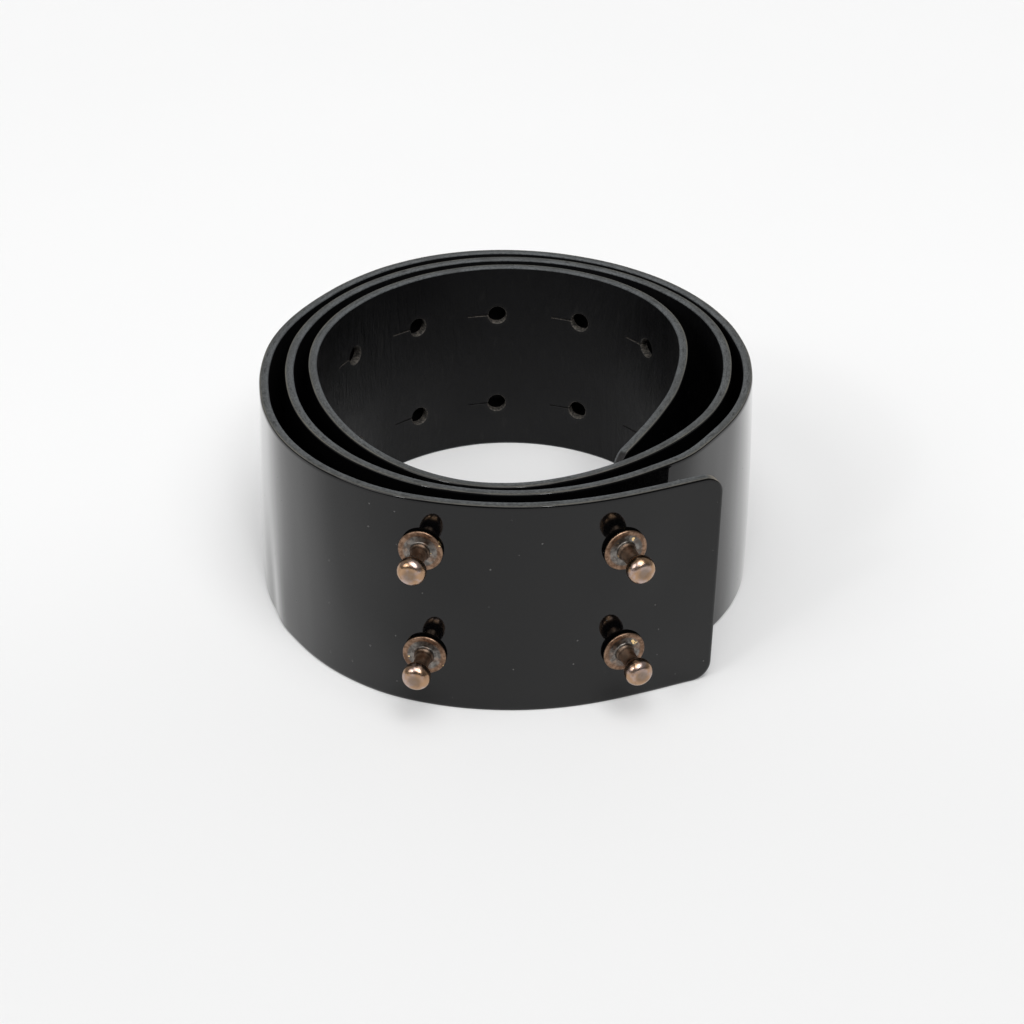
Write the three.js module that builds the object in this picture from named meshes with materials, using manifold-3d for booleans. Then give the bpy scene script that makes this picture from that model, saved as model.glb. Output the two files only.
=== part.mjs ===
// A wide patent leather belt, rolled up and standing on its long edge.
// It closes without a buckle: four metal button studs near the outer end
// push through slit holes near the inner end.
// Millimetres, +Z up. The side with the studs faces -Y.

import * as THREE from 'three';
import { mergeVertices } from 'three/addons/utils/BufferGeometryUtils.js';
import Module from 'manifold-3d';

const wasm = await Module();
wasm.setup();

// Driving dimensions of the strap

const strapWidth = 60;
const strapThickness = 2.5;
const endCornerRadius = 5;
const stationStep = 5.4;
const innerEndAngle = 298;
const outerEndAngle = 1392.4;

// Shape of the coil: the distance of the strap's middle from the coil's centre, for each pass round it.
// Headings run counter-clockwise from +X, seen from above, and the passes follow each other from the
// inner end outwards. Lean is how far the bottom edge stands out beyond the top edge.

const headingStep = 24;
const coilRows = [
  // heading, pass 1, pass 2, pass 3, pass 4, lean
  [264, 88.0, 65.5, 67.5, 72.5, 0.0],
  [288, 61.5, 61.0, 66.5, 72.5, 0.0],
  [312, 48.5, 57.5, 63.5, 73.0, 1.0],
  [336, 45.0, 57.5, 63.5, 95.5, 2.2],
  [0, 45.5, 58.0, 63.5, 118.0, 2.4],
  [24, 51.5, 62.0, 65.5, null, 2.0],
  [48, 58.5, 65.0, 69.0, null, 1.2],
  [72, 62.0, 67.5, 72.0, null, 0.4],
  [96, 63.0, 68.5, 74.0, null, 0.0],
  [120, 59.5, 65.5, 71.0, null, 0.0],
  [144, 56.0, 61.5, 65.5, null, 1.0],
  [168, 53.5, 59.0, 65.0, null, 2.4],
  [192, 51.5, 58.0, 64.5, null, 2.7],
  [216, 53.5, 61.0, 69.5, null, 0.0],
  [240, 59.0, 65.0, 73.0, null, 0.0],
];
const leanCurve = 1.7;

// Fittings: heights are above the bottom edge, and distances run along the strap from its inner end.
// The studs are set by hand, so each is a little off its row, and the left ones stand at a small turn.
// A screw's head seats on the hollow side of the strap, so its middle stands a little off the leather.

const buttonHole = {
  radius: 2.75,
  slitLength: 6.5,
  slitWidth: 0.5,
  columns: 5,
  firstDistance: 96,
  pitch: 26,
  rowHeights: [14.5, 44.5],
};
const studPlaces = [
  { name: 'upper_left', distance: 1126, height: 46.4, turn: 5.5 },
  { name: 'lower_left', distance: 1126.5, height: 15.9, turn: 5.5 },
  { name: 'upper_right', distance: 1174.8, height: 45.5, turn: 0 },
  { name: 'lower_right', distance: 1175.7, height: 15.4, turn: 0 },
];
const clearance = 0.33;
const stud = {
  flangeRadius: 5.5,
  flangeThickness: 0.9,
  shoulderRadius: 2.4,
  shoulderTop: 1.9,
  neckRadius: 2,
  knobRadius: 3.4,
  knobCentre: 9,
  knobFlat: 0.8,
  boreDepth: 4.4,
};
const screw = { headRadius: 4.5, headThickness: 1.2, headHollow: 0.26, shankRadius: 1.2, length: 7 };
const screwHoleRadius = screw.shankRadius + clearance;
const roundSegments = 20;

// Path of the strap: a uniform cubic B-spline through the rows, in distance from the centre over angle

const firstHeading = coilRows[0][0];
const radii = [1, 2, 3, 4].flatMap((pass) => coilRows.map((row) => row[pass])).filter((r) => r !== null);
const leans = coilRows.map((row) => row[5]);

function splineWeights(u) {
  return [
    (1 - u) ** 3 / 6,
    (3 * u ** 3 - 6 * u ** 2 + 4) / 6,
    (-3 * u ** 3 + 3 * u ** 2 + 3 * u + 1) / 6,
    u ** 3 / 6,
  ];
}

function splineValue(angle, valueAt) {
  const t = (angle - firstHeading) / headingStep;
  const i = Math.floor(t);
  return splineWeights(t - i).reduce((sum, weight, k) => sum + weight * valueAt(i - 1 + k), 0);
}

function pathPoint(angle) {
  const radius = splineValue(angle, (i) => radii[i]);
  const heading = THREE.MathUtils.degToRad(angle);
  return new THREE.Vector2(radius * Math.cos(heading), radius * Math.sin(heading));
}

function leanAt(angle, height) {
  const bottomLean = splineValue(angle, (i) => leans[i % leans.length]);
  return bottomLean * (1 - (height / strapWidth) ** leanCurve);
}

// Distance along the path at each sample, so that places can be given in millimetres of strap

const sampleCount = 2200;
const samples = Array.from({ length: sampleCount + 1 }, (_, i) => {
  const angle = innerEndAngle + (outerEndAngle - innerEndAngle) * i / sampleCount;
  return { angle, point: pathPoint(angle), distance: 0 };
});
for (let i = 1; i <= sampleCount; i++) {
  samples[i].distance = samples[i - 1].distance + samples[i].point.distanceTo(samples[i - 1].point);
}
const strapLength = samples[sampleCount].distance;

function angleAt(distance) {
  const next = Math.max(samples.findIndex((sample) => sample.distance >= distance), 1);
  const [a, b] = [samples[next - 1], samples[next]];
  return THREE.MathUtils.mapLinear(distance, a.distance, b.distance, a.angle, b.angle);
}

// Where the strap is at a distance along it: its middle, the way it runs, and its outward side

function frameAt(distance, height) {
  const angle = angleAt(distance);
  const tangent = pathPoint(angle + 0.05).sub(pathPoint(angle - 0.05)).normalize();
  const outward = new THREE.Vector3(tangent.y, -tangent.x, 0);
  const middle = pathPoint(angle);
  const position = new THREE.Vector3(middle.x, middle.y, height);
  position.addScaledVector(outward, leanAt(angle, height));
  return { position, tangent: new THREE.Vector3(tangent.x, tangent.y, 0), outward };
}

// A matrix that sets a piece on the strap: its x runs along the strap, y is up and z points outwards

function placeOnStrap(distance, height, offset) {
  const { position, tangent, outward } = frameAt(distance, height);
  const matrix = new THREE.Matrix4().makeBasis(tangent, new THREE.Vector3(0, 0, 1), outward);
  return matrix.setPosition(position.addScaledVector(outward, offset));
}

// Solids: three.js geometry in, geometry out, joined and cut as closed bodies

function toSolid(geometry) {
  const bare = geometry.clone();
  bare.deleteAttribute('normal');
  bare.deleteAttribute('uv');
  const merged = mergeVertices(bare, 1e-4);
  return new wasm.Manifold(new wasm.Mesh({
    numProp: 3,
    vertProperties: new Float32Array(merged.attributes.position.array),
    triVerts: new Uint32Array(merged.index.array),
  }));
}

function toGeometry(solid) {
  const mesh = solid.getMesh();
  const geometry = new THREE.BufferGeometry();
  geometry.setAttribute('position', new THREE.BufferAttribute(mesh.vertProperties, 3));
  geometry.setIndex(new THREE.BufferAttribute(mesh.triVerts, 1));
  geometry.computeVertexNormals();
  return geometry;
}

// The strap: its section is lofted along the path, with rounded corners at both ends

function stationDistances() {
  const corner = [0, 0.04, 0.15, 0.35, 0.65, 1].map((share) => share * endCornerRadius);
  const straight = strapLength - 2 * endCornerRadius;
  const steps = Math.round(straight / stationStep);
  const middle = Array.from({ length: steps - 1 }, (_, i) => endCornerRadius + straight * (i + 1) / steps);
  return [...corner, ...middle, ...corner.map((d) => strapLength - d).reverse()];
}

function cornerInset(distance) {
  const toEnd = Math.min(distance, strapLength - distance);
  const short = Math.max(endCornerRadius - toEnd, 0);
  return endCornerRadius - Math.sqrt(endCornerRadius ** 2 - short ** 2);
}

function strapSection(distance) {
  const inset = cornerInset(distance);
  const heights = [inset, strapWidth / 2, strapWidth - inset];
  const side = (offset) => heights.map((height) => {
    const { position, outward } = frameAt(distance, height);
    return position.addScaledVector(outward, offset);
  });
  return [...side(-strapThickness / 2), ...side(strapThickness / 2).reverse()];
}

function strapGeometry() {
  const sections = stationDistances().map(strapSection);
  const count = sections[0].length;
  const last = (sections.length - 1) * count;
  const index = [];
  for (let i = 0; i < sections.length - 1; i++) {
    for (let j = 0; j < count; j++) {
      const [a, b] = [i * count + j, i * count + (j + 1) % count];
      index.push(a, b, b + count, a, b + count, a + count);
    }
  }
  for (let low = 0; low < count / 2 - 1; low++) {
    const [a, b, c, d] = [low, low + 1, count - 2 - low, count - 1 - low];
    index.push(a, c, b, a, d, c);
    index.push(last + a, last + b, last + c, last + a, last + c, last + d);
  }
  const geometry = new THREE.BufferGeometry().setFromPoints(sections.flat());
  geometry.setIndex(index);
  return geometry;
}

// Cutters for the holes reach just past both faces, so they stay clear of the next turn.
// A slit runs from the middle of its button hole, and its cutter sits at its own place on the curve.

const cutterDepth = strapThickness + 0.8;

function roundCutter(radius, distance, height) {
  const geometry = new THREE.CylinderGeometry(radius, radius, cutterDepth, roundSegments).rotateX(Math.PI / 2);
  return toSolid(geometry.applyMatrix4(placeOnStrap(distance, height, 0)));
}

function slitCutter(distance, height) {
  const length = buttonHole.radius + buttonHole.slitLength;
  const geometry = new THREE.BoxGeometry(length, buttonHole.slitWidth, cutterDepth);
  return toSolid(geometry.applyMatrix4(placeOnStrap(distance + length / 2, height, 0)));
}

function cutStrap() {
  let solid = toSolid(strapGeometry());
  for (const height of buttonHole.rowHeights) {
    for (let column = 0; column < buttonHole.columns; column++) {
      const distance = buttonHole.firstDistance + column * buttonHole.pitch;
      solid = solid.subtract(roundCutter(buttonHole.radius, distance, height));
      solid = solid.subtract(slitCutter(distance, height));
    }
  }
  for (const { distance, height } of studPlaces) {
    solid = solid.subtract(roundCutter(screwHoleRadius, distance, height));
  }
  return toGeometry(solid);
}

// Round pieces: a profile of radius and height, spun about the z axis

function spun(profile) {
  const points = profile.map(([radius, height]) => new THREE.Vector2(radius, height));
  return new THREE.LatheGeometry(points, roundSegments).rotateX(Math.PI / 2);
}

function studGeometry() {
  const { flangeRadius, flangeThickness, shoulderRadius, shoulderTop, neckRadius } = stud;
  const { knobRadius, knobCentre, knobFlat, boreDepth } = stud;
  const knobStart = Math.asin(neckRadius / knobRadius);
  const knobSteps = 6;
  const frontHeight = knobCentre + knobRadius - knobFlat;
  const frontAngle = Math.PI - Math.acos((frontHeight - knobCentre) / knobRadius);
  const knob = Array.from({ length: knobSteps + 1 }, (_, i) => {
    const angle = knobStart + (frontAngle - knobStart) * i / knobSteps;
    return [knobRadius * Math.sin(angle), knobCentre - knobRadius * Math.cos(angle)];
  });
  return spun([
    [0, boreDepth],
    [screwHoleRadius, boreDepth],
    [screwHoleRadius, 0],
    [flangeRadius - 0.3, 0],
    [flangeRadius, 0.3],
    [flangeRadius, flangeThickness - 0.4],
    [flangeRadius - 0.5, flangeThickness],
    [shoulderRadius, flangeThickness],
    [shoulderRadius, shoulderTop - 0.4],
    [neckRadius, shoulderTop],
    ...knob,
    [0, frontHeight],
  ]);
}

// A stud stands on z = 0 and a screw's head seats there from below, its shank pointing up

function screwGeometry() {
  const { headRadius, headThickness, shankRadius, length } = screw;
  return spun([
    [0, -headThickness],
    [headRadius, -headThickness],
    [headRadius, 0],
    [shankRadius, 0],
    [shankRadius, length],
    [0, length],
  ]);
}

// Materials

const patentLeather = { color: 0x121214, roughness: 0.08, metalness: 0 };
const agedCopper = { color: 0x7a5240, roughness: 0.35, metalness: 1 };
const steel = { color: 0x5e5a55, roughness: 0.4, metalness: 1 };

function mesh(name, geometry, finish) {
  const piece = new THREE.Mesh(geometry, new THREE.MeshStandardMaterial(finish));
  piece.name = name;
  return piece;
}

// Assembly

const belt = new THREE.Group();
belt.add(mesh('strap', cutStrap(), patentLeather));
for (const { name, distance, height, turn } of studPlaces) {
  const angle = THREE.MathUtils.degToRad(turn);
  const button = mesh(`stud_${name}`, studGeometry(), agedCopper);
  const flangeLift = stud.flangeRadius * Math.sin(angle) / 2;
  button.position.z = strapThickness / 2 + clearance + flangeLift;
  const fastener = mesh(`stud_screw_${name}`, screwGeometry(), steel);
  const headLift = screw.headHollow + screw.headRadius * Math.sin(angle);
  fastener.position.z = -strapThickness / 2 - clearance - headLift;
  const fitting = new THREE.Group().add(button, fastener);
  fitting.rotation.y = angle;
  fitting.applyMatrix4(placeOnStrap(distance, height, 0));
  belt.add(fitting);
}

// The origin is the middle of the whole belt's footprint, on the surface that it stands on

const middle = new THREE.Box3().setFromObject(belt, true).getCenter(new THREE.Vector3());
belt.position.set(-middle.x, -middle.y, 0);

export default belt;
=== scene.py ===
# The looks of a rolled patent leather belt with metal button studs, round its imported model.
# Tables and dimensions are in millimetres, as in the model. The finished meshes and the coordinates in
# the materials are in metres.

import math

import bpy
import numpy as np
from mathutils import Matrix, Vector


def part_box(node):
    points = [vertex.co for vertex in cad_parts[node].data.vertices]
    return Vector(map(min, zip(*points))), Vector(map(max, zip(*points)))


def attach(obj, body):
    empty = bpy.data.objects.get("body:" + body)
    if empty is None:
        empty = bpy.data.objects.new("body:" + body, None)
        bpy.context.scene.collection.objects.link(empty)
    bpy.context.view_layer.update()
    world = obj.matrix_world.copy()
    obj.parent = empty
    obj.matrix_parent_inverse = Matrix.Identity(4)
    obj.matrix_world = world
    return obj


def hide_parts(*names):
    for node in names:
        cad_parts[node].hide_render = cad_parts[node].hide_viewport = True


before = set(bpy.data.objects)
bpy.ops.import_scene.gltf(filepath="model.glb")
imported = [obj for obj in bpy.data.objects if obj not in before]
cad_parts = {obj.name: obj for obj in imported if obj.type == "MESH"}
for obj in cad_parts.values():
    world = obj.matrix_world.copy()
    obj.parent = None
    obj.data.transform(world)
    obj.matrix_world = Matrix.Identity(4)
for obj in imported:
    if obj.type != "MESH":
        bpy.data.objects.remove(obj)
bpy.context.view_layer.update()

MM = 0.001

# Strap and coil, as in the model

STRAP_WIDTH = 60.0
STRAP_THICKNESS = 2.5
HALF_THICKNESS = STRAP_THICKNESS / 2
END_RADIUS = 5.0
INNER_END_ANGLE = 298.0
OUTER_END_ANGLE = 1392.4
HEADING_STEP = 24.0
COIL_ROWS = (
    # The curve's radii for the middle of the strap, on each pass of a heading. Lean is how far the foot
    # of the strap stands out from its top edge there.
    # heading, pass 1, pass 2, pass 3, pass 4, lean
    (264, 88.0, 65.5, 67.5, 72.5, 0.0),
    (288, 61.5, 61.0, 66.5, 72.5, 0.0),
    (312, 48.5, 57.5, 63.5, 73.0, 1.0),
    (336, 45.0, 57.5, 63.5, 95.5, 2.2),
    (0, 45.5, 58.0, 63.5, 118.0, 2.4),
    (24, 51.5, 62.0, 65.5, None, 2.0),
    (48, 58.5, 65.0, 69.0, None, 1.2),
    (72, 62.0, 67.5, 72.0, None, 0.4),
    (96, 63.0, 68.5, 74.0, None, 0.0),
    (120, 59.5, 65.5, 71.0, None, 0.0),
    (144, 56.0, 61.5, 65.5, None, 1.0),
    (168, 53.5, 59.0, 65.0, None, 2.4),
    (192, 51.5, 58.0, 64.5, None, 2.7),
    (216, 53.5, 61.0, 69.5, None, 0.0),
    (240, 59.0, 65.0, 73.0, None, 0.0),
)
LEAN_CURVE = 1.7
PATH_STEPS = 8000

# Holes and studs, as in the model: distances run along the strap from its inner end, and a stud's turn
# is in degrees to the right as seen from outside

HOLE_RADIUS = 2.75
HOLE_COLUMNS = 5
HOLE_FIRST = 96.0
HOLE_PITCH = 26.0
HOLE_HEIGHTS = (14.5, 44.5)
SLIT_LENGTH = 6.5
STUD_PLACES = (
    # name, distance, height, turn
    ("upper_left", 1126.0, 46.4, 5.5),
    ("lower_left", 1126.5, 15.9, 5.5),
    ("upper_right", 1174.8, 45.5, 0.0),
    ("lower_right", 1175.7, 15.4, 0.0),
)
CLEARANCE = 0.33
STUD_HEIGHT = 11.6
STUD_BORE_DEPTH = 4.4
FLANGE_RADIUS = 5.5
FLANGE_THICKNESS = 0.9
KNOB_RADIUS = 3.5
SCREW_HEAD_RADIUS = 4.5
SCREW_HEAD_THICKNESS = 1.2
SCREW_HEAD_HOLLOW = 0.26
SCREW_SHANK_RADIUS = 1.2
SCREW_SHANK_LENGTH = 7.0
SCREW_HOLE_RADIUS = 1.53

# Fine shape of the strap. A rounding is how far it reaches on the face, and how far on the cut edge.

FILM_ROUNDING = (1.0, 0.4)
HEEL_ROUNDING = (0.45, 0.45)
FILM_EDGE = 0.23
EDGE_BAND = 0.3
HOLE_EASE = 0.22
SLIT_EASE = 0.25
SLIT_HALF_WIDTH = 0.24
SLIT_TIP_HALF_WIDTH = 0.1
STATION_STEP = 2.0
CORNER_STEPS = 10
ROUNDING_STEPS = 7
FACE_ROWS = 16
HOLE_SIDES = 40
LEATHER_SHARP_ANGLE = 38
METAL_SHARP_ANGLE = 50
METAL_SIDES = 72

# Fine shape of a stud: its gap from the plain leather, then radius and height of points, from the
# flange's front or from the seat

SEAT_GAP = 0.25
RING_ABOVE_FLANGE = ((4.6, 0.0), (4.3, -0.08), (4.1, -0.14), (3.0, -0.16))
COLLAR_ABOVE_FLANGE = ((2.46, 0.45), (2.38, 0.62), (2.2, 0.74))
NECK = ((2.08, 1.9), (2.0, 2.4), (1.95, 3.4), (1.93, 4.4), (1.95, 5.3), (2.02, 5.95), (2.12, 6.3))

# Path of the strap

RADII = np.array([row[p] for p in (1, 2, 3, 4) for row in COIL_ROWS if row[p] is not None])
LEANS = np.array([row[5] for row in COIL_ROWS])


def spline(angle, values):
    """Uniform cubic B-spline over the coil's angle, which repeats where the values are one round."""
    t = (angle - COIL_ROWS[0][0]) / HEADING_STEP
    i = np.floor(t).astype(int)
    u = t - i
    weights = ((1 - u) ** 3, 3 * u**3 - 6 * u**2 + 4, -3 * u**3 + 3 * u**2 + 3 * u + 1, u**3)
    return sum(w * values[(i - 1 + k) % len(values)] for k, w in enumerate(weights)) / 6


def plan(angle):
    """The middle of the strap seen from above, from the coil's centre."""
    radius = spline(angle, RADII)
    heading = np.radians(angle)
    return np.stack([radius * np.cos(heading), radius * np.sin(heading)], -1)


ANGLES = np.linspace(INNER_END_ANGLE, OUTER_END_ANGLE, PATH_STEPS + 1)
STEPS = np.linalg.norm(np.diff(plan(ANGLES), axis=0), axis=1)
DISTANCES = np.concatenate([[0.0], np.cumsum(STEPS)])
STRAP_LENGTH = DISTANCES[-1]


def outward_at(distance):
    """The coil's angle at a distance along the strap, and the direction out of the coil there."""
    near = 0.05
    angle = np.interp(distance, DISTANCES, ANGLES)
    tangent = plan(angle + near) - plan(angle - near)
    tangent /= np.linalg.norm(tangent, axis=-1, keepdims=True)
    return angle, np.stack([tangent[..., 1], -tangent[..., 0]], -1)


# Waves and dents of the leather: the strap stands out by depth around a place on it, and a negative
# depth is a hollow. Long and high say how far the wave reaches along the strap and across it.

WAVES = (
    # distance, height, long, high, depth
    (1075.0, 6.0, 5.0, 16.0, 0.35),
    (1068.0, 8.0, 4.0, 18.0, -0.25),
    (768.0, 60.0, 9.5, 24.0, 0.95),
)

# Places near the studs where the leather is turned about an upright line, in degrees to the right as
# seen from outside

TWISTS = (
    # distance, height, long, high, turn
    (1126.0, 46.4, 12.0, 12.0, 4.5),
    (1126.5, 15.9, 12.0, 12.0, 4.0),
    (1174.8, 45.5, 9.0, 11.0, -3.7),
    (1175.7, 15.4, 9.0, 11.0, -3.7),
)

# Fine waves all along the strap: their depth, the length that goes with a wave, how much and over what
# length the waves drift, and the length over which they fade

FINE_DEPTH = 0.035
FINE_LENGTH = 2.9
FINE_DRIFT = 0.9
FINE_DRIFT_LENGTH = 17.0
FINE_FADE_LENGTH = 23.0


def ripple(distance, height):
    """How far the leather stands out of its plain course."""
    drift = FINE_DRIFT * np.sin(distance / FINE_DRIFT_LENGTH)
    wave = FINE_DEPTH * np.sin(distance / FINE_LENGTH + drift)
    wave = wave * np.sin(distance / FINE_FADE_LENGTH) ** 2
    for centre, level, reach, rise, depth in WAVES:
        away = ((distance - centre) / reach) ** 2 + ((height - level) / rise) ** 2
        wave = wave + depth * np.exp(-away)
    for centre, level, reach, rise, turn in TWISTS:
        along = distance - centre
        away = (along / reach) ** 2 + ((height - level) / rise) ** 2
        wave = wave - math.tan(math.radians(turn)) * along * np.exp(-away)
    return wave


def bend(flat, waves=True):
    """Points of the flat strap (distance, height, offset outwards), taken to the rolled strap."""
    distance, height, offset = flat[..., 0], flat[..., 1], flat[..., 2]
    angle, outward = outward_at(distance)
    lean = spline(angle, LEANS) * (1 - np.clip(height / STRAP_WIDTH, 0, None) ** LEAN_CURVE)
    side = lean + offset
    if waves:
        side = side + ripple(distance, height)
    ground = plan(angle) + outward * side[..., None]
    return np.concatenate([ground, height[..., None]], -1)


def bend_normals(flat, normals):
    """Normals of the flat strap, turned with the leather."""
    step = 0.05
    inside = flat.copy()
    inside[:, 0] = np.clip(inside[:, 0], step, STRAP_LENGTH - step)
    inside[:, 1] = np.clip(inside[:, 1], step, None)
    shift = np.eye(3) * step
    along, up, out = (bend(inside + shift[k]) - bend(inside - shift[k]) for k in range(3))
    turned = normals[:, :1] * np.cross(up, out) + normals[:, 1:2] * np.cross(out, along)
    turned = turned + normals[:, 2:] * np.cross(along, up)
    return turned / np.linalg.norm(turned, axis=1, keepdims=True)


# Place of the coil in the frame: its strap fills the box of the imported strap

foot = np.zeros_like(DISTANCES)
outer_foot = bend(np.stack([DISTANCES, foot, foot + HALF_THICKNESS], -1))[:, :2]
own_middle = (outer_foot.min(0) + outer_foot.max(0)) / 2
low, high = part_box("strap")
COIL_CENTRE = np.array([(low.x + high.x) / 2, (low.y + high.y) / 2]) / MM - own_middle


def in_frame(points):
    """Points round the coil's centre, in millimetres, to the frame in metres."""
    placed = points.copy()
    placed[..., :2] += COIL_CENTRE
    return placed * MM


def strap_place(distance, height):
    """A matrix, in millimetres, at a place on the strap's plain course.

    Its x runs along the strap, its y is up and its z points outwards.
    """
    near = 0.1
    spot, front, back = (bend(np.array([distance + step, height, 0]), False) for step in (0, near, -near))
    ahead = front - back
    along = Vector((ahead[0], ahead[1], 0)).normalized()
    up = Vector((0, 0, 1))
    out = along.cross(up)
    place = Matrix((along, up, out)).transposed().to_4x4()
    place.translation = Vector((spot[0] + COIL_CENTRE[0], spot[1] + COIL_CENTRE[1], spot[2]))
    return place


# Material nodes


class Nodes:
    """One material, and short calls for its nodes. A vector is an output of another node."""

    def __init__(self, name):
        self.material = bpy.data.materials.new(name)
        self.material.use_nodes = True
        self.tree = self.material.node_tree
        self.shader = self.tree.nodes["Principled BSDF"]

    def new(self, kind, inputs=(), **settings):
        node = self.tree.nodes.new(kind)
        for key, value in settings.items():
            setattr(node, key, value)
        for key, value in dict(inputs).items():
            self.put(node.inputs[key], value)
        return node

    def put(self, socket, value):
        if isinstance(value, bpy.types.NodeSocket):
            self.tree.links.new(value, socket)
        elif socket.type == "RGBA" and len(value) == 3:
            socket.default_value = (*value, 1)
        else:
            socket.default_value = value

    def set(self, **values):
        """Sockets of the shader, by their names with underscores."""
        for key, value in values.items():
            self.put(self.shader.inputs[key.replace("_", " ")], value)

    def position(self, attribute):
        """The coordinates that a mesh carries, in metres."""
        return self.new("ShaderNodeAttribute", attribute_name=attribute).outputs["Vector"]

    def stretch(self, vector, scale):
        node = self.new("ShaderNodeMapping", {"Vector": vector, "Scale": scale}, vector_type="POINT")
        return node.outputs["Vector"]

    def parts(self, vector):
        return self.new("ShaderNodeSeparateXYZ", {"Vector": vector}).outputs

    def noise(self, vector, scale, detail=4.0, roughness=0.5, distortion=0.0):
        inputs = {"Vector": vector, "Scale": scale, "Detail": detail, "Roughness": roughness}
        inputs["Distortion"] = distortion
        return self.new("ShaderNodeTexNoise", inputs).outputs["Fac"]

    def cells(self, vector, scale):
        """Distance to the nearest of points scattered over x and y, and a random colour for each."""
        inputs = {"Vector": vector, "Scale": scale}
        node = self.new("ShaderNodeTexVoronoi", inputs, voronoi_dimensions="2D")
        return node.outputs["Distance"], node.outputs["Color"]

    def math(self, operation, first, second=0.0, clamp=False):
        node = self.new("ShaderNodeMath", operation=operation, use_clamp=clamp)
        self.put(node.inputs[0], first)
        self.put(node.inputs[1], second)
        return node.outputs[0]

    def ramp(self, value, start, end, low=0.0, high=1.0):
        """Value goes smoothly from low at start to high at end."""
        inputs = {"Value": value, "From Min": start, "From Max": end, "To Min": low, "To Max": high}
        return self.new("ShaderNodeMapRange", inputs, interpolation_type="SMOOTHSTEP").outputs[0]

    def mix(self, share, first, second):
        """The first colour at share 0 and the second at share 1, on the node's sockets for colours."""
        node = self.new("ShaderNodeMix", {"Factor": share}, data_type="RGBA")
        first_colour, second_colour, result = node.inputs[6], node.inputs[7], node.outputs[2]
        self.put(first_colour, first)
        self.put(second_colour, second)
        return result

    def bump(self, height, distance, normal=None):
        node = self.new("ShaderNodeBump", {"Height": height, "Distance": distance, "Strength": 1.0})
        if normal is not None:
            self.put(node.inputs["Normal"], normal)
        return node.outputs["Normal"]


# Materials of the strap. Their coordinates are the flat strap's: distance, height, offset.


def patent_film():
    """Black patent film: a mirror with soft upright waves and a few specks of dust."""
    film, dust = (0.0015, 0.0015, 0.0017), (0.09, 0.09, 0.087)
    n = Nodes("patent_film")
    spot = n.position("strap")
    near, colour = n.cells(spot, 140.0)
    chosen = n.ramp(n.parts(colour)[0], 0.64, 0.66)
    size = n.math("MULTIPLY", n.parts(colour)[1], 0.032)
    speck = n.math("MULTIPLY", n.math("LESS_THAN", near, size), chosen)
    n.set(Base_Color=n.mix(speck, film, dust))
    haze = n.ramp(n.noise(spot, 60.0, 3.0), 0.3, 0.7, 0.03, 0.055)
    n.set(Roughness=n.math("ADD", haze, n.math("MULTIPLY", speck, 0.5)))
    waves = n.bump(n.noise(n.stretch(spot, (1, 0.3, 1)), 55.0, 0.0), 0.0008)
    skin = n.bump(n.noise(n.stretch(spot, (1, 0.35, 1)), 110.0, 2.0), 0.00003, waves)
    n.set(Normal=skin, Coat_Normal=skin)
    n.set(IOR=1.36, Coat_Weight=1.0, Coat_Roughness=0.05, Coat_IOR=1.17)
    return n.material


def hole_distance(n, spot):
    """Distance from the nearest button hole's middle, and 1 along the two rows of holes."""
    distance, height, _ = n.parts(spot)
    column = n.math("DIVIDE", n.math("SUBTRACT", distance, HOLE_FIRST * MM), HOLE_PITCH * MM)
    from_middle = n.math("ABSOLUTE", n.math("SUBTRACT", column, (HOLE_COLUMNS - 1) / 2))
    in_rows = n.math("LESS_THAN", from_middle, HOLE_COLUMNS / 2)
    along = n.math("MULTIPLY", n.math("SUBTRACT", column, n.math("ROUND", column)), HOLE_PITCH * MM)
    middle = sum(HOLE_HEIGHTS) / 2 * MM
    half = (HOLE_HEIGHTS[1] - HOLE_HEIGHTS[0]) / 2 * MM
    across = n.math("SUBTRACT", n.math("ABSOLUTE", n.math("SUBTRACT", height, middle)), half)
    far = n.math("SQRT", n.math("ADD", n.math("POWER", along, 2.0), n.math("POWER", across, 2.0)))
    return far, in_rows


def hole_halo(n, spot):
    """1 at the rim of a button hole and 0 some millimetres away."""
    far, in_rows = hole_distance(n, spot)
    halo = n.ramp(far, HOLE_RADIUS * MM, (HOLE_RADIUS + 1.6) * MM, 1.0, 0.0)
    return n.math("MULTIPLY", halo, in_rows)


def flesh_side():
    """Inner face: black, finely grained, with short upright wrinkles and scuffs round the holes."""
    black, scuffed = (0.004, 0.004, 0.0045), (0.02, 0.019, 0.018)
    n = Nodes("flesh_side")
    spot = n.position("strap")
    grain = n.noise(spot, 1500.0, 3.0, 0.6)
    wrinkles = n.noise(n.stretch(spot, (1, 0.22, 1)), 520.0, 3.0, 0.55, 0.4)
    patches = n.noise(spot, 45.0, 3.0)
    halo = n.math("MULTIPLY", hole_halo(n, spot), n.ramp(grain, 0.35, 0.65))
    ridges = n.ramp(wrinkles, 0.62, 0.75, 0.0, 0.3)
    paler_share = n.math("MAXIMUM", ridges, n.math("MULTIPLY", halo, 0.5))
    n.set(Base_Color=n.mix(paler_share, black, scuffed))
    n.set(Roughness=n.ramp(patches, 0.3, 0.7, 0.38, 0.5))
    folds = n.bump(n.ramp(wrinkles, 0.35, 0.7), 0.00006)
    n.set(Normal=n.bump(grain, 0.00004, folds))
    n.set(IOR=1.3)
    return n.material


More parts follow.
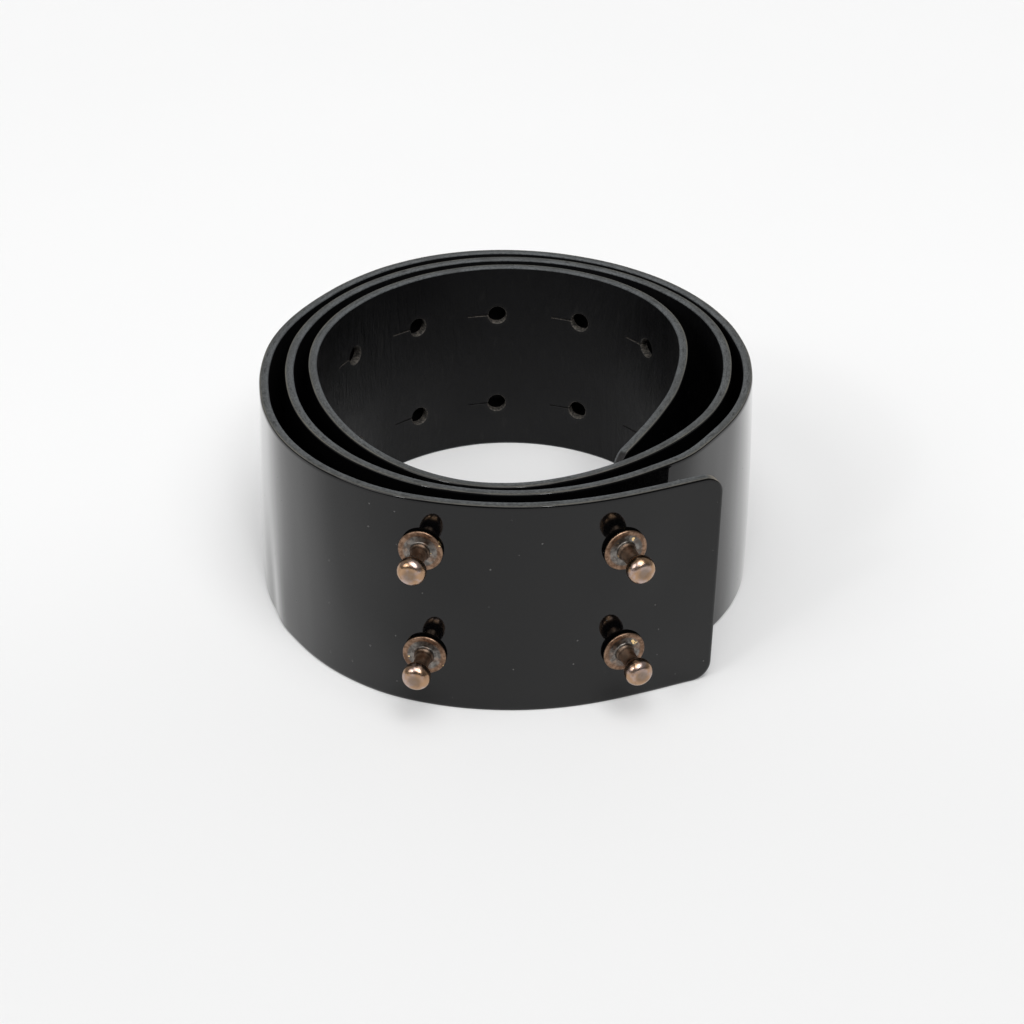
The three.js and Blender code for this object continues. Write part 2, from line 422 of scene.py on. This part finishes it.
def cut_edge():
    """Cut edge: grey leather with fibres, lighter by the flesh side, and a painted highlight line by the
    film.

    Dark marks run along its middle. The rolled border of the film is black, the inner end's top corner
    is painted near black as shade where it falls away, and the outer end's top corner has a painted pale
    highlight and wear.
    """
    flesh_grey, film_grey = (0.083, 0.09, 0.096), (0.05, 0.052, 0.051)
    light_fibre, dark_fibre = (0.12, 0.125, 0.125), (0.03, 0.031, 0.031)
    cloud, mark = (0.04, 0.041, 0.04), (0.015, 0.015, 0.015)
    pale_line_highlight, pale_corner_highlight, black_border_and_shade = (0.115, 0.108, 0.086), (0.2, 0.18, 0.15), (0.006, 0.005, 0.005)
    n = Nodes("cut_edge")
    spot = n.position("strap")
    distance, height, offset = n.parts(spot)
    fibres = n.noise(n.stretch(spot, (0.6, 1, 1.4)), 1900.0, 3.0, 0.65)
    clouds = n.noise(spot, 160.0, 3.0)
    marks = n.noise(n.stretch(spot, (0.35, 1, 2.2)), 900.0, 2.0)
    colour = n.mix(n.ramp(offset, -0.0011, 0.0006), flesh_grey, film_grey)
    colour = n.mix(n.ramp(fibres, 0.42, 0.62, 0.0, 0.7), colour, light_fibre)
    colour = n.mix(n.ramp(fibres, 0.36, 0.5, 0.6, 0.0), colour, dark_fibre)
    colour = n.mix(n.ramp(clouds, 0.4, 0.75, 0.0, 0.5), colour, cloud)
    in_middle = n.ramp(n.math("ABSOLUTE", offset), 0.0, 0.0009, 1.0, 0.0)
    marked = n.math("MULTIPLY", n.ramp(marks, 0.54, 0.66), in_middle)
    colour = n.mix(n.math("MULTIPLY", marked, 0.8), colour, mark)
    # Painted highlight: a pale line by the film's rounded border, in place of the bright ceiling's
    # reflection there.
    by_film = n.ramp(offset, 0.00062, 0.00078)
    line = n.math("MULTIPLY", by_film, n.ramp(clouds, 0.3, 0.6, 0.9, 0.4))
    colour = n.mix(line, colour, pale_line_highlight)
    # Painted highlight on the outer end's top corner, which also has wear: a pale patch in place of a
    # lamp's glint there.
    from_end = n.math("SUBTRACT", STRAP_LENGTH * MM, distance)
    at_outer_end = n.ramp(from_end, 0.002, 0.0045, 1.0, 0.0)
    paler_share = n.math("MULTIPLY", at_outer_end, n.ramp(height, 0.0572, 0.059))
    colour = n.mix(paler_share, colour, pale_corner_highlight)
    border = n.math("MULTIPLY", n.ramp(offset, 0.00092, 0.00098), n.math("SUBTRACT", 1.0, paler_share))
    # Painted shade: the inner end's top corner falls away and is painted near black on its flesh side.
    at_inner_end = n.ramp(distance, 0.003, 0.0042, 1.0, 0.0)
    inner_corner = n.math("MULTIPLY", at_inner_end, n.ramp(height, 0.05, 0.054))
    inner_corner_shade = n.math("MULTIPLY", inner_corner, n.ramp(offset, -0.0009, -0.0005))
    inner_corner_shade = n.math("MULTIPLY", inner_corner_shade, n.ramp(fibres, 0.6, 0.7, 1.0, 0.7))
    n.set(Base_Color=n.mix(n.math("MAXIMUM", border, inner_corner_shade), colour, black_border_and_shade))
    n.set(Roughness=n.ramp(fibres, 0.3, 0.7, 0.5, 0.75))
    n.set(Specular_IOR_Level=0.3)
    n.set(Normal=n.bump(fibres, 0.00012))
    return n.material


def hole_wall():
    """Punched wall of a hole: raw leather, dark to tan, with fibres.

    The slits of the lower row are dyed black, and those of the upper row hardly.
    """
    dark, tan, dye = (0.014, 0.013, 0.012), (0.105, 0.093, 0.078), (0.004, 0.004, 0.004)
    n = Nodes("hole_wall")
    spot = n.position("strap")
    fibres = n.noise(n.stretch(spot, (1, 1, 0.5)), 1800.0, 3.0, 0.6)
    raw = n.mix(n.ramp(fibres, 0.35, 0.7), dark, tan)
    far, _ = hole_distance(n, spot)
    in_slit = n.ramp(far, (HOLE_RADIUS + 0.15) * MM, (HOLE_RADIUS + 0.4) * MM)
    dyed = n.ramp(n.parts(spot)[1], 0.029, 0.031, 1.0, 0.15)
    n.set(Base_Color=n.mix(n.math("MULTIPLY", in_slit, dyed), raw, dye))
    n.set(Roughness=0.75)
    n.set(Normal=n.bump(fibres, 0.00015))
    return n.material


# Materials of the metal parts. A stud has its own coordinates: z goes from its seat to its knob.


def aged_copper():
    """Antique copper: brown flange with a grey ring and bright chips, dull neck, bright knob.

    Painted shade makes the flange's side, the collar, the top of the neck and the back of the knob nearly
    black.
    """
    brown, light_brown = (0.145, 0.085, 0.055), (0.31, 0.2, 0.135)
    grey, light_grey = (0.11, 0.11, 0.105), (0.23, 0.23, 0.22)
    front_copper, front_pink = (0.25, 0.165, 0.105), (0.26, 0.2, 0.165)
    round_copper, round_pink = (0.42, 0.265, 0.16), (0.46, 0.35, 0.31)
    dark_neck, light_neck = (0.17, 0.105, 0.07), (0.3, 0.22, 0.165)
    groove, stain = (0.05, 0.04, 0.035), (0.17, 0.12, 0.095)
    shade_black, bare = (0.03, 0.02, 0.014), (1.0, 0.72, 0.36)
    n = Nodes("aged_copper")
    own = n.position("stud")
    place = n.new("ShaderNodeTexCoord").outputs["Object"]
    x, y, z = n.parts(own)
    radius = n.math("SQRT", n.math("ADD", n.math("POWER", x, 2.0), n.math("POWER", y, 2.0)))
    blotches = n.noise(place, 420.0, 4.0, 0.55)
    stains = n.noise(place, 900.0, 3.0, 0.55)
    grain = n.noise(place, 2400.0, 3.0, 0.6)
    turning_marks = n.math("SINE", n.math("MULTIPLY", radius, 15000.0))
    on_flange = n.ramp(z, 0.0013, 0.0016, 1.0, 0.0)
    # The back of the knob keeps the neck's colour, which is painted shade there.
    on_knob = n.ramp(z, 0.0076, 0.0087)
    ring = n.ramp(radius, 0.0039, 0.0045, 1.0, 0.0)
    ring = n.math("MULTIPLY", ring, n.ramp(blotches, 0.3, 0.55, 0.35, 1.0))
    plain = n.mix(n.ramp(stains, 0.35, 0.65), brown, light_brown)
    patina = n.mix(n.ramp(stains, 0.4, 0.6), grey, light_grey)
    flange = n.mix(n.math("MULTIPLY", ring, 0.85), plain, patina)
    flange = n.mix(n.math("MULTIPLY", turning_marks, 0.12, clamp=True), flange, groove)
    front = n.mix(n.ramp(blotches, 0.35, 0.65), front_copper, front_pink)
    rounded = n.mix(n.ramp(blotches, 0.45, 0.65), round_copper, round_pink)
    knob = n.mix(n.ramp(radius, 0.0009, 0.0023), front, rounded)
    knob = n.mix(n.ramp(stains, 0.55, 0.72, 0.0, 0.4), knob, stain)
    neck = n.mix(n.ramp(blotches, 0.4, 0.6), dark_neck, light_neck)
    # Painted shade: the top of the neck, under the knob, is nearly black.
    neck = n.mix(n.ramp(z, 0.0058, 0.007), neck, shade_black)
    colour = n.mix(on_knob, n.mix(on_flange, neck, flange), knob)
    # Painted shade: the flange's side and underside by the leather, and the collar in the hollow at the
    # foot of the neck, are darkened to near black.
    side = n.math("MULTIPLY", n.ramp(radius, 0.0052, 0.0054), n.ramp(z, 0.0005, 0.0007, 1.0, 0.0))
    over_flange = n.ramp(z, 0.001, 0.0013, 0.0, 0.65)
    collar = n.math("MULTIPLY", over_flange, n.ramp(z, 0.0021, 0.0028, 1.0, 0.0))
    colour = n.mix(n.math("MAXIMUM", side, collar), colour, shade_black)
    chip = n.math("MULTIPLY", n.ramp(n.noise(place, 430.0, 2.0), 0.68, 0.70), on_flange)
    n.set(Base_Color=n.mix(chip, colour, bare))
    n.set(Metallic=1.0)
    polish = n.ramp(on_knob, 0.0, 1.0, 0.34, 0.2)
    n.set(Roughness=n.math("ADD", n.ramp(blotches, 0.3, 0.7, 0.0, 0.07), polish))
    n.set(Normal=n.bump(n.math("ADD", grain, n.math("MULTIPLY", blotches, 2.0)), 0.00002))
    return n.material


def screw_steel():
    """Satin steel with light stains."""
    n = Nodes("screw_steel")
    place = n.new("ShaderNodeTexCoord").outputs["Object"]
    stains = n.noise(place, 500.0, 4.0)
    n.set(Base_Color=n.mix(n.ramp(stains, 0.35, 0.7), (0.22, 0.2, 0.18), (0.36, 0.34, 0.31)))
    n.set(Metallic=1.0)
    n.set(Roughness=n.ramp(stains, 0.3, 0.7, 0.3, 0.45))
    return n.material


# Strap mesh: made flat, cut flat and then rolled


def strap_stations():
    """Points along the bottom edge with the direction into the strap: distance, height, inwards."""
    turn = np.radians(np.linspace(90, 0, CORNER_STEPS + 1))
    sine, cosine = np.sin(turn), np.cos(turn)
    corner = np.stack([END_RADIUS * (1 - sine), END_RADIUS * (1 - cosine), sine, cosine], 1)
    count = round((STRAP_LENGTH - 2 * END_RADIUS) / STATION_STEP)
    straight = np.zeros((count - 1, 4))
    straight[:, 0] = np.linspace(END_RADIUS, STRAP_LENGTH - END_RADIUS, count + 1)[1:-1]
    straight[:, 3] = 1
    far = corner[::-1] * (-1, 1, -1, 1) + (STRAP_LENGTH, 0, 0, 0)
    return np.concatenate([corner, straight, far])


def face_grid(stations, inset):
    """Rows of points from the bottom edge to the top edge, all of them inset from the outline."""
    bottom = stations[:, :2] + inset * stations[:, 2:]
    top = bottom * (1, -1) + (0, STRAP_WIDTH)
    share = np.linspace(0, 1, FACE_ROWS + 1)[None, :, None]
    return bottom[:, None] * (1 - share) + top[:, None] * share


def ring(grid):
    """The rim of a grid, once round."""
    return np.concatenate([grid[:, 0], grid[-1, 1:-1], grid[::-1, -1], grid[0, -2:0:-1]])


def edge_profile():
    """Inset and offset of each ring from the film's shoulder, down the cut edge, to the heel."""
    turn = np.radians(np.linspace(0, 90, ROUNDING_STEPS + 1))
    inset, drop = 1 - np.sin(turn), 1 - np.cos(turn)
    shoulder = np.stack([inset, -drop], 1) * FILM_ROUNDING + (0, HALF_THICKNESS)
    heel = np.stack([inset, drop], 1)[::-1] * HEEL_ROUNDING - (0, HALF_THICKNESS)
    return np.concatenate([shoulder, [[0, EDGE_BAND], [0, -EDGE_BAND]], heel])


def flat_strap():
    """The flat strap without its holes: outer face, rings down the edge, inner face."""
    stations = strap_stations()
    profile = edge_profile()
    outer = face_grid(stations, profile[0, 0])
    inner = face_grid(stations, profile[-1, 0])
    size = outer.shape[0] * outer.shape[1]
    numbers = np.arange(size).reshape(outer.shape[:2])
    rings = [ring(face_grid(stations, inset)) for inset, _ in profile[1:-1]]
    around = len(rings[0])
    layers = [(outer.reshape(-1, 2), profile[0, 1])]
    layers += list(zip(rings, profile[1:-1, 1]))
    layers += [(inner.reshape(-1, 2), profile[-1, 1])]
    points = np.concatenate([np.column_stack([flat, np.full(len(flat), q)]) for flat, q in layers])
    inner_start = size + around * len(rings)
    loops = [ring(numbers)]
    loops += [size + i * around + np.arange(around) for i in range(len(rings))]
    loops += [ring(numbers) + inner_start]
    quads = np.stack([numbers[:-1, :-1], numbers[1:, :-1], numbers[1:, 1:], numbers[:-1, 1:]], -1)
    quads = quads.reshape(-1, 4)
    faces = [quads, quads[:, ::-1] + inner_start]
    for a, b in zip(loops[:-1], loops[1:]):
        faces.append(np.stack([a, b, np.roll(b, -1), np.roll(a, -1)], -1))
    return points, np.concatenate(faces)


def mesh_object(name, points, faces):
    """A new object of the scene, from points and faces."""
    mesh = bpy.data.meshes.new(name)
    mesh.from_pydata([list(point) for point in points], [], [list(face) for face in faces])
    mesh.update()
    piece = bpy.data.objects.new(name, mesh)
    bpy.context.scene.collection.objects.link(piece)
    return piece


def spun(profile, segments):
    """Points and faces of a profile (radius, height) that starts and ends on the axis z."""
    turn = np.linspace(0, 2 * np.pi, segments, endpoint=False)
    middle = np.array(profile[1:-1])
    radius, height = middle[:, :1], np.repeat(middle[:, 1:], segments, 1)
    rings = np.stack([radius * np.cos(turn), radius * np.sin(turn), height], -1)
    ends = np.array([[0, 0, profile[0][1]], [0, 0, profile[-1][1]]])
    points = np.concatenate([rings.reshape(-1, 3), ends])
    start, end = len(points) - 2, len(points) - 1
    faces = []
    last = (len(middle) - 1) * segments
    for i in range(segments):
        j = (i + 1) % segments
        faces.append([start, j, i])
        faces.append([end, last + i, last + j])
        for k in range(0, last, segments):
            faces.append([k + i, k + j, k + segments + j, k + segments + i])
    return points, faces


def round_cutter(radius):
    """A punch that flares where it meets both faces, so that the hole's rims are eased."""
    beyond = 0.5
    wide, over = radius + HOLE_EASE + beyond, HALF_THICKNESS + beyond
    straight = HALF_THICKNESS - HOLE_EASE
    profile = [(0, -over), (wide, -over), (radius, -straight), (radius, straight), (wide, over), (0, over)]
    return spun(profile, HOLE_SIDES)


def slit_cutter():
    """A blade from the hole's middle to the slit's end, wider at both faces and closing to its tip."""
    ends = ((0.0, SLIT_HALF_WIDTH), (HOLE_RADIUS + SLIT_LENGTH, SLIT_TIP_HALF_WIDTH))
    flare, beyond = 0.3, 0.4
    over, straight = HALF_THICKNESS + beyond, HALF_THICKNESS - SLIT_EASE
    section = [(-1, over, flare), (-1, straight, 0), (-1, -straight, 0), (-1, -over, flare)]
    section += [(1, -over, flare), (1, -straight, 0), (1, straight, 0), (1, over, flare)]
    points = [(s, side * (half + wider), q) for s, half in ends for side, q, wider in section]
    count = len(section)
    quads = ((0, 1, 6, 7), (1, 2, 5, 6), (2, 3, 4, 5))
    faces = [quad[::-1] for quad in quads]
    faces += [tuple(i + count for i in quad) for quad in quads]
    faces += [(i, (i + 1) % count, (i + 1) % count + count, i + count) for i in range(count)]
    return np.array(points), faces


def joined(shapes):
    """One set of points and faces from many."""
    points, faces, start = [], [], 0
    for own_points, own_faces in shapes:
        points.append(own_points)
        faces += [[i + start for i in face] for face in own_faces]
        start += len(own_points)
    return np.concatenate(points), faces


def cut(piece, shapes):
    """Cuts the shapes out of the piece, in place."""
    points, faces = joined(shapes)
    mesh = bpy.data.meshes.new("cutter")
    mesh.from_pydata(points.tolist(), [], faces)
    cutter = bpy.data.objects.new("cutter", mesh)
    bpy.context.scene.collection.objects.link(cutter)
    modifier = piece.modifiers.new("cut", "BOOLEAN")
    modifier.operation = "DIFFERENCE"
    modifier.solver = "EXACT"
    modifier.object = cutter
    bpy.context.view_layer.update()
    ready = piece.evaluated_get(bpy.context.evaluated_depsgraph_get())
    result = bpy.data.meshes.new_from_object(ready)
    piece.modifiers.clear()
    old = piece.data
    piece.data = result
    bpy.data.meshes.remove(old)
    bpy.data.objects.remove(cutter)
    bpy.data.meshes.remove(mesh)


def edge_direction(flat):
    """Distance from the strap's outline and the direction out of the strap, for flat points."""
    core_low = np.array([END_RADIUS, END_RADIUS])
    core_high = np.array([STRAP_LENGTH - END_RADIUS, STRAP_WIDTH - END_RADIUS])
    away = flat[:, :2] - np.clip(flat[:, :2], core_low, core_high)
    length = np.linalg.norm(away, axis=1)
    return END_RADIUS - length, away / np.maximum(length, 1e-9)[:, None]


def flat_normals(flat):
    """Normals of the uncut flat strap: faces, cut edge, and the rounding between them."""
    depth, out = edge_direction(flat)
    offset = flat[:, 2]
    side = np.sign(offset)
    reach, drop = (np.where(side > 0, film, heel) for film, heel in zip(FILM_ROUNDING, HEEL_ROUNDING))
    outwards = np.clip(reach - depth, 0, None) / reach**2
    sideways = np.clip(np.abs(offset) - (HALF_THICKNESS - drop), 0, None) / drop**2
    normal = np.column_stack([out * outwards[:, None], side * sideways])
    on_face = depth >= reach
    normal[on_face] = np.column_stack([np.zeros((on_face.sum(), 2)), side[on_face]])
    return normal / np.maximum(np.linalg.norm(normal, axis=1, keepdims=True), 1e-9)


def read(collection, field, width):
    """A field of every element of a mesh's collection, one row each."""
    values = np.empty(len(collection) * width, np.float32)
    collection.foreach_get(field, values)
    return values.reshape(-1, width).astype(float)


def moved(shape, distance, height):
    """A cutter, taken to its place on the flat strap."""
    points, faces = shape
    return points + (distance, height, 0), faces


def make_strap():
    """The strap with its holes and slits, rolled."""
    points, faces = flat_strap()
    strap = mesh_object("strap_leather", points, faces)
    columns = [HOLE_FIRST + i * HOLE_PITCH for i in range(HOLE_COLUMNS)]
    holes = [(distance, height) for height in HOLE_HEIGHTS for distance in columns]
    screw_holes = [(distance, height) for _, distance, height, _ in STUD_PLACES]
    punches = [moved(round_cutter(HOLE_RADIUS), *place) for place in holes]
    punches += [moved(round_cutter(SCREW_HOLE_RADIUS), *place) for place in screw_holes]
    cut(strap, punches)
    cut(strap, [moved(slit_cutter(), *place) for place in holes])
    finish_strap(strap)
    return strap


# Kinds of face, in the order of the strap's materials

FILM, FLESH, EDGE, WALL = range(4)


def face_kinds(centres, normals):
    """The kind of each face of the flat strap, and whether it is leather's own face, not a hole's wall."""
    likeness, slack = 0.8, 0.02
    depth, _ = edge_direction(centres)
    own = (normals * flat_normals(centres)).sum(1) > likeness
    near_edge = depth < HEEL_ROUNDING[0] + slack
    under_film = centres[:, 2] < HALF_THICKNESS - FILM_EDGE
    kinds = np.where(own, np.where(centres[:, 2] > 0, FILM, FLESH), WALL)
    kinds[own & near_edge & under_film] = EDGE
    return kinds, own


def finish_strap(strap):
    """Gives each face its material, rolls the mesh and keeps the leather's exact normals."""
    mesh = strap.data
    flat = read(mesh.vertices, "co", 3)
    kinds, own = face_kinds(read(mesh.polygons, "center", 3), read(mesh.polygons, "normal", 3))
    mesh.materials.clear()
    for finish in (patent_film(), flesh_side(), cut_edge(), hole_wall()):
        mesh.materials.append(finish)
    mesh.polygons.foreach_set("material_index", kinds.astype(np.int32))
    mesh.set_sharp_from_angle(angle=math.radians(LEATHER_SHARP_ANGLE))
    corner_vertex = np.empty(len(mesh.loops), np.int32)
    mesh.loops.foreach_get("vertex_index", corner_vertex)
    corner_normals = read(mesh.corner_normals, "vector", 3)
    counts = np.empty(len(mesh.polygons), np.int32)
    mesh.polygons.foreach_get("loop_total", counts)
    corner_flat = flat[corner_vertex]
    corner_own = np.repeat(own, counts)
    corner_normals[corner_own] = flat_normals(corner_flat[corner_own])
    turned = bend_normals(corner_flat, corner_normals)
    store = mesh.attributes.new("strap", "FLOAT_VECTOR", "POINT")
    store.data.foreach_set("vector", (flat * MM).astype(np.float32).ravel())
    mesh.vertices.foreach_set("co", in_frame(bend(flat)).astype(np.float32).ravel())
    mesh.polygons.foreach_set("use_smooth", np.ones(len(counts), bool))
    mesh.update()
    mesh.normals_split_custom_set(turned.tolist())


# Studs and screws


def arc(centre, radius, start, end, steps, tall=1.0):
    """Points of an arc in the profile's plane, angles in degrees from the axis of radius."""
    turn = np.radians(np.linspace(start, end, steps + 1))
    return [(centre[0] + radius * math.cos(a), centre[1] + radius * tall * math.sin(a)) for a in turn]


def stud_profile():
    """Flange with a rolled rim and a sunk ring, a collar, a waisted neck and a flat-fronted knob."""
    top, front = FLANGE_THICKNESS, STUD_HEIGHT
    back_round, rim_round, fillet = 0.3, 0.42, 0.25
    knob_middle, knob_back_round, knob_front_round = 9.25, 2.4, 2.0
    profile = [(0, STUD_BORE_DEPTH), (SCREW_HOLE_RADIUS, STUD_BORE_DEPTH), (SCREW_HOLE_RADIUS, 0)]
    profile += arc((FLANGE_RADIUS - back_round, back_round), back_round, -90, 0, 4)
    profile += arc((FLANGE_RADIUS - rim_round, top - rim_round), rim_round, 0, 84, 6)
    profile += [(radius, top + height) for radius, height in RING_ABOVE_FLANGE]
    profile += arc((2.75, top + 0.09), fillet, -90, -180, 4)
    profile += [(radius, top + height) for radius, height in COLLAR_ABOVE_FLANGE]
    profile += NECK
    profile += arc((KNOB_RADIUS - knob_back_round, knob_middle), knob_back_round, -66, 0, 8, 1.12)
    front_centre = (KNOB_RADIUS - knob_front_round, front - knob_front_round)
    profile += arc(front_centre, knob_front_round, 0, 84, 14)
    profile += [(1.2, front - 0.01), (0.9, front), (0, front)]
    return profile


def screw_profile():
    """Flat head behind z = 0 and a plain shank in front of it."""
    radius, back = SCREW_HEAD_RADIUS, -SCREW_HEAD_THICKNESS
    rim_round, rim_ease, tip_ease = 0.3, 0.12, 0.15
    profile = [(0, back), (radius - 0.35, back)]
    profile += arc((radius - rim_round, back + rim_round), rim_round, -80, 0, 4)
    profile += [(radius, -rim_ease), (radius - rim_ease, 0), (SCREW_SHANK_RADIUS, 0)]
    profile += [(SCREW_SHANK_RADIUS, SCREW_SHANK_LENGTH - tip_ease)]
    profile += [(SCREW_SHANK_RADIUS - tip_ease, SCREW_SHANK_LENGTH), (0, SCREW_SHANK_LENGTH)]
    return profile


def metal_piece(name, profile, place, finish):
    """A turned piece at a place, which also carries its own coordinates."""
    points, faces = spun(profile, METAL_SIDES)
    piece = mesh_object(name, points, faces)
    store = piece.data.attributes.new("stud", "FLOAT_VECTOR", "POINT")
    store.data.foreach_set("vector", (points * MM).astype(np.float32).ravel())
    piece.data.transform(Matrix.Scale(MM, 4) @ place)
    piece.data.materials.append(finish)
    piece.data.polygons.foreach_set("use_smooth", np.ones(len(faces), bool))
    piece.data.set_sharp_from_angle(angle=math.radians(METAL_SHARP_ANGLE))
    piece.data.update()
    return piece


def make_fittings():
    """The studs and their screws, each in its place on the strap."""
    copper, steel = aged_copper(), screw_steel()
    rise = HALF_THICKNESS + SEAT_GAP
    for name, distance, height, turn in STUD_PLACES:
        angle = math.radians(turn)
        place = strap_place(distance, height) @ Matrix.Rotation(angle, 4, "Y")
        stud_place = place @ Matrix.Translation((0, 0, rise))
        drop = HALF_THICKNESS + CLEARANCE + SCREW_HEAD_HOLLOW + SCREW_HEAD_RADIUS * math.sin(angle)
        screw_place = place @ Matrix.Translation((0, 0, -drop))
        stud = metal_piece(f"button_{name}", stud_profile(), stud_place, copper)
        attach(stud, "root")
        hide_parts(f"stud_{name}")
        screw = metal_piece(f"screw_{name}", screw_profile(), screw_place, steel)
        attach(screw, "root")
        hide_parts(f"stud_screw_{name}")


# Camera: the photograph's, from the coil's centre

CAMERA_PLACE = (1.28, -429.85, 280.86)
CAMERA_PITCH_DOWN = 31.952
CAMERA_ROLL = 0.676
LENS = 63.28
SENSOR = 36.0
CLIP_METRES = (0.01, 50)


def make_camera():
    data = bpy.data.cameras.new("camera")
    data.lens = LENS
    data.sensor_width = SENSOR
    data.clip_start, data.clip_end = CLIP_METRES
    camera = bpy.data.objects.new("camera", data)
    spot = Vector(CAMERA_PLACE) + Vector((COIL_CENTRE[0], COIL_CENTRE[1], 0))
    turn = Matrix.Rotation(math.radians(90 - CAMERA_PITCH_DOWN), 4, "X")
    turn = turn @ Matrix.Rotation(math.radians(CAMERA_ROLL), 4, "Z")
    camera.matrix_world = Matrix.Translation(spot * MM) @ turn
    bpy.context.scene.collection.objects.link(camera)
    bpy.context.scene.camera = camera


# Studio: a pale floor, soft lamps above and beside the camera, and a room that is dark behind it

LAMPS = (
    # name, heading, elevation and width of the source in degrees, strength
    ("spot_left", 225, 34, 6, 0.18),
    ("spot_right", 289, 41, 6, 0.20),
    ("box_left", 212, 36, 36, 0.75),
    ("box_right", 286, 57, 44, 1.65),
    ("ceiling", 270, 78, 44, 0.90),
)
ROOM_FADE = {
    # from behind the camera to behind the belt, as shares of a direction's y, and how bright each end is
    "From Min": -0.6,
    "From Max": 0.4,
    "To Min": 0.10,
    "To Max": 0.30,
}
FLOOR_REACH_METRES = 30.0


def direction(heading, elevation):
    """The direction towards a place in the sky, given in degrees."""
    turn, rise = math.radians(heading), math.radians(elevation)
    return Vector((math.cos(rise) * math.cos(turn), math.cos(rise) * math.sin(turn), math.sin(rise)))


def make_floor():
    """White paper, painted lighter behind the belt than in front of it: a painted falloff of the light
    towards the front.
    """
    reach = FLOOR_REACH_METRES
    corners = [(-reach, -reach, 0), (reach, -reach, 0), (reach, reach, 0), (-reach, reach, 0)]
    front, back, dull = (0.81, 0.81, 0.81), (0.88, 0.88, 0.88), (0.78, 0.78, 0.78)
    floor = mesh_object("floor", corners, [(0, 1, 2, 3)])
    n = Nodes("floor_paper")
    place = n.new("ShaderNodeTexCoord").outputs["Object"]
    # Painted shade: the paper is darker in front of the belt, for the light that falls off towards the
    # front.
    paper = n.mix(n.ramp(n.parts(place)[1], -0.12, 0.06), front, back)
    uneven = n.ramp(n.noise(place, 3.0), 0.3, 0.7, 0.0, 0.1)
    n.set(Base_Color=n.mix(uneven, paper, dull))
    n.set(Roughness=0.45, IOR=1.25)
    floor.data.materials.append(n.material)


def make_lamps():
    """Far lamps, each as wide in the sky as its table row says."""
    for name, heading, elevation, width, strength in LAMPS:
        data = bpy.data.lights.new(name, "SUN")
        data.angle = math.radians(width)
        data.energy = strength
        lamp = bpy.data.objects.new(f"lamp_{name}", data)
        lamp.matrix_world = direction(heading, elevation).to_track_quat("Z", "Y").to_matrix().to_4x4()
        bpy.context.scene.collection.objects.link(lamp)


def make_room():
    """A grey room, darker behind the camera than behind the belt."""
    world = bpy.data.worlds.new("room")
    bpy.context.scene.world = world
    world.use_nodes = True
    tree = world.node_tree
    background = tree.nodes["Background"]
    background.inputs["Color"].default_value = (1, 1, 1, 1)
    split = tree.nodes.new("ShaderNodeSeparateXYZ")
    fade = tree.nodes.new("ShaderNodeMapRange")
    fade.interpolation_type = "SMOOTHSTEP"
    for key, value in ROOM_FADE.items():
        fade.inputs[key].default_value = value
    tree.links.new(tree.nodes.new("ShaderNodeTexCoord").outputs["Generated"], split.inputs[0])
    tree.links.new(split.outputs["Y"], fade.inputs["Value"])
    tree.links.new(fade.outputs[0], background.inputs["Strength"])
    bpy.context.scene.view_settings.view_transform = "Standard"
    bpy.context.scene.view_settings.look = "None"


make_camera()
strap_piece = make_strap()
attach(strap_piece, "root")
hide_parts("strap")
make_fittings()
make_floor()
make_lamps()
make_room()
